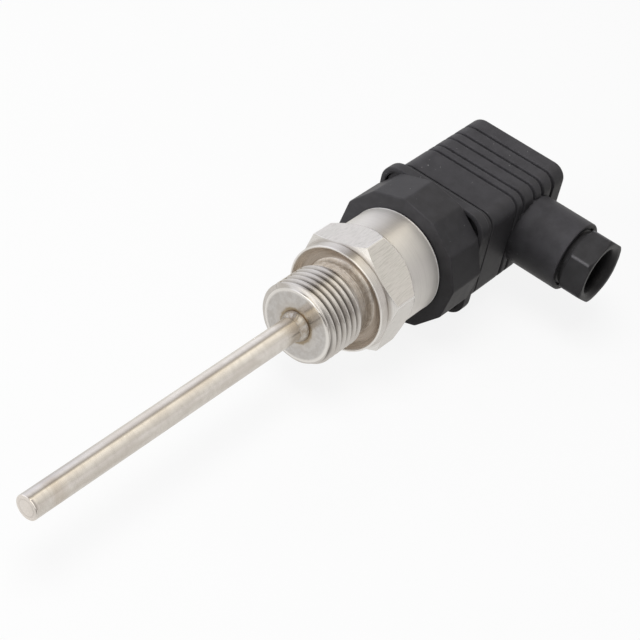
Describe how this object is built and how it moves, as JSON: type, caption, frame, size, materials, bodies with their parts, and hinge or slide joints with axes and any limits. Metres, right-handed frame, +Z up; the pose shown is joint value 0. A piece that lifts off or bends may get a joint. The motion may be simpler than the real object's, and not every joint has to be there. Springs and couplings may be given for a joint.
{
  "type": "temperature sensor",
  "caption": "Insertion temperature sensor: thin closed stem, pipe thread with hexagon, and a right-angle cable socket held by a screw.",
  "frame": {"origin": "on the sensor's axis, in the plane of the sealing rim that meets the port", "axes": "+X along the axis from the probe tip to the cable socket, -Y towards the cable outlet, +Z up as the part is shown"},
  "size_m": [0.169, 0.0538, 0.0352],
  "materials": {
    "stainless": "turned and milled, bare",
    "weld_tint": "ring weld with straw heat tint",
    "black_plastic": "moulded, fine matt texture",
    "nut_plastic": "moulded, smoother than the housing",
    "seal_rubber": "black rubber",
    "insert_plastic": "black moulded contact carrier",
    "contact_metal": "silver plated blades and clips",
    "brass": "turned",
    "screw_steel": "zinc plated",
    "ceramic": "white sintered ceramic",
    "board_green": "solder resist",
    "board_parts": "moulded packages",
    "washer_plastic": "natural nylon"
  },
  "bodies": {
    "sensor": {"stem_tube": "stainless", "stem_tip": "stainless", "weld_bead": "weld_tint", "process_fitting": "stainless", "sensing_element": "ceramic", "insulator_rod": "ceramic", "lead_wires": "contact_metal", "transmitter_board": "board_green", "board_components": "board_parts", "twelve_sided_ring": "black_plastic", "body_oring": "seal_rubber", "plug_base": "black_plastic", "contact_pin_1": "contact_metal", "contact_pin_2": "contact_metal", "contact_pin_3": "contact_metal", "ground_pin": "contact_metal", "screw_bush": "brass", "profile_gasket": "seal_rubber"},
    "socket": {"socket_housing": "black_plastic", "terminal_insert": "insert_plastic", "socket_contact_1": "contact_metal", "socket_contact_2": "contact_metal", "socket_contact_3": "contact_metal", "socket_ground": "contact_metal", "terminal_screw_1": "screw_steel", "terminal_screw_2": "screw_steel", "terminal_screw_3": "screw_steel", "terminal_screw_4": "screw_steel", "cable_seal": "seal_rubber"},
    "screw_seat": {"screw_seal": "seal_rubber"},
    "screw": {"fixing_screw": "screw_steel"},
    "gland_slip": {"thrust_washer": "washer_plastic"},
    "gland": {"gland_nut": "nut_plastic"}
  },
  "joints": [
    {"name": "socket_unplug", "type": "slide", "parent": "sensor", "child": "socket", "axis": [1, 0, 0], "range_m": [0, 0.03]},
    {"name": "screw_travel", "type": "slide", "parent": "socket", "child": "screw_seat", "axis": [1, 0, 0], "range_m": [0, 0.0065]},
    {"name": "screw_turn", "type": "hinge", "parent": "screw_seat", "child": "screw", "pos_m": [0.069, 0, 0], "axis": [1, 0, 0], "range_deg": [0, 4680]},
    {"name": "gland_travel", "type": "slide", "parent": "socket", "child": "gland_slip", "axis": [0, -1, 0], "range_m": [0, 0.006]},
    {"name": "gland_turn", "type": "hinge", "parent": "gland_slip", "child": "gland", "pos_m": [0.0594, -0.033, 0], "axis": [0, -1, 0], "range_deg": [0, 1440]}
  ],
  "couplings": [
    {"joint": "screw_turn", "follows": "screw_travel", "rad_per_m": 12566},
    {"joint": "gland_turn", "follows": "gland_travel", "rad_per_m": 4188.8}
  ]
}
